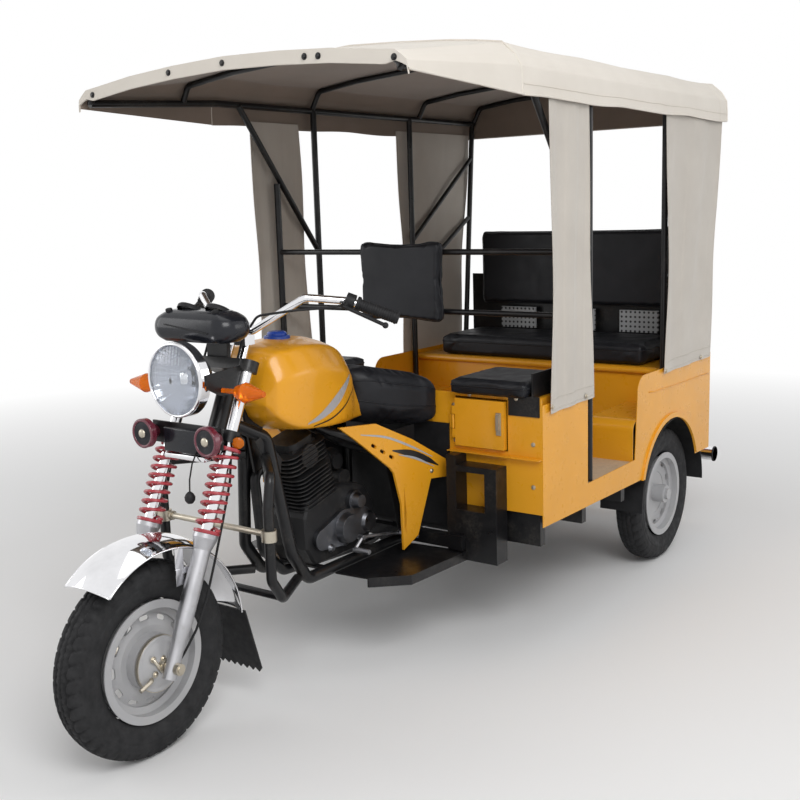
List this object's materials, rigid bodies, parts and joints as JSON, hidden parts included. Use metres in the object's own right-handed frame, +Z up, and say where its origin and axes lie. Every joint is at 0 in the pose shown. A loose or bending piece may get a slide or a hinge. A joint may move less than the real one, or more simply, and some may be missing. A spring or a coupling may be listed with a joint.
{
  "type": "passenger motor tricycle",
  "caption": "Three-wheeled motor tricycle with a motorcycle front end, an open passenger carriage with bench and jump seats, and a canopy with side curtains.",
  "frame": {"origin": "on the ground, in the middle of the vehicle's length and width", "axes": "+Z up, -Y towards the front wheel, +X towards the vehicle's left side"},
  "size_m": [1.264, 3.0824, 1.972],
  "materials": {
    "tyre": "matte",
    "silver_paint": "satin",
    "cast_aluminium": "satin",
    "chrome": "polished",
    "red_paint": "gloss",
    "maroon_paint": "gloss",
    "black_paint": "gloss",
    "black_engine": "satin",
    "zinc_steel": "satin",
    "black_rubber": "matte",
    "clear_lens": "polished",
    "amber_lens": "gloss",
    "red_lens": "gloss",
    "black_gloss_plastic": "gloss",
    "black_plastic": "matte",
    "grey_plastic": "satin",
    "blue_plastic": "gloss",
    "yellow_paint": "gloss",
    "black_vinyl": "satin",
    "floor_mat": "matte",
    "canopy_cloth": "matte",
    "curtain_cloth": "matte"
  },
  "bodies": {
    "chassis": {"bench_backrest": "black_vinyl", "bench_base": "yellow_paint", "bench_cushion": "black_vinyl", "bench_panels": "grey_plastic", "canopy_cover": "canopy_cloth", "canopy_frame": "black_paint", "crash_bar": "black_paint", "crash_clamps": "zinc_steel", "curtains": "curtain_cloth", "driver_backrest": "black_vinyl", "engine": "black_engine", "engine_covers": "cast_aluminium", "exhaust": "black_paint", "floor": "floor_mat", "foot_controls": "cast_aluminium", "footboards": "black_paint", "front_wall": "yellow_paint", "fuel_cap": "blue_plastic", "fuel_tank": "yellow_paint", "jump_seat_brackets": "black_paint", "jump_seat_pads": "black_vinyl", "load_frame": "black_paint", "main_frame": "black_paint", "post_frames": "black_paint", "rear_axle": "black_paint", "rear_bumper": "chrome", "rear_guard": "black_paint", "rear_wall": "yellow_paint", "saddle": "black_vinyl", "seat_skirt": "black_plastic", "side_covers": "yellow_paint", "side_panel_left": "yellow_paint", "side_panel_right": "yellow_paint", "tail_lamps": "red_lens", "visor": "canopy_cloth", "wheel_boxes": "yellow_paint", "wheel_guards": "black_rubber"},
    "steering": {"fork_legs": "cast_aluminium", "fork_tubes": "chrome", "fork_springs": "red_paint", "fork_yokes": "black_paint", "front_axle": "zinc_steel", "front_fender": "chrome", "front_mud_flap": "black_rubber", "horns": "maroon_paint", "headlamp": "chrome", "headlamp_lens": "clear_lens", "indicators": "amber_lens", "instrument_pod": "black_gloss_plastic", "handlebar": "chrome", "hand_controls": "black_rubber", "control_cables": "black_rubber"},
    "front_wheel": {"front_tyre": "tyre", "front_rim": "silver_paint"},
    "rear_wheel_left": {"rear_tyre_left": "tyre", "rear_rim_left": "silver_paint"},
    "rear_wheel_right": {"rear_tyre_right": "tyre", "rear_rim_right": "silver_paint"},
    "toolbox_lid": {"toolbox_door": "yellow_paint", "toolbox_latch": "zinc_steel"}
  },
  "joints": [
    {"name": "steering_turn", "type": "hinge", "parent": "chassis", "child": "steering", "pos_m": [0, -0.92521, 0.88487], "axis": [0, 0.4195, 0.9078], "range_deg": [-35, 35]},
    {"name": "front_wheel_spin", "type": "hinge", "parent": "steering", "child": "front_wheel", "pos_m": [0, -1.26875, 0.2725], "axis": [1, 0, 0], "continuous": true},
    {"name": "rear_wheel_left_spin", "type": "hinge", "parent": "chassis", "child": "rear_wheel_left", "pos_m": [0.509, 1.00825, 0.2725], "axis": [1, 0, 0], "continuous": true},
    {"name": "rear_wheel_right_spin", "type": "hinge", "parent": "chassis", "child": "rear_wheel_right", "pos_m": [-0.509, 1.00825, 0.2725], "axis": [1, 0, 0], "continuous": true},
    {"name": "toolbox_door_swing", "type": "hinge", "parent": "chassis", "child": "toolbox_lid", "pos_m": [0.279, -0.12875, 0.753], "axis": [0, 0, -1], "range_deg": [0, 100]}
  ]
}
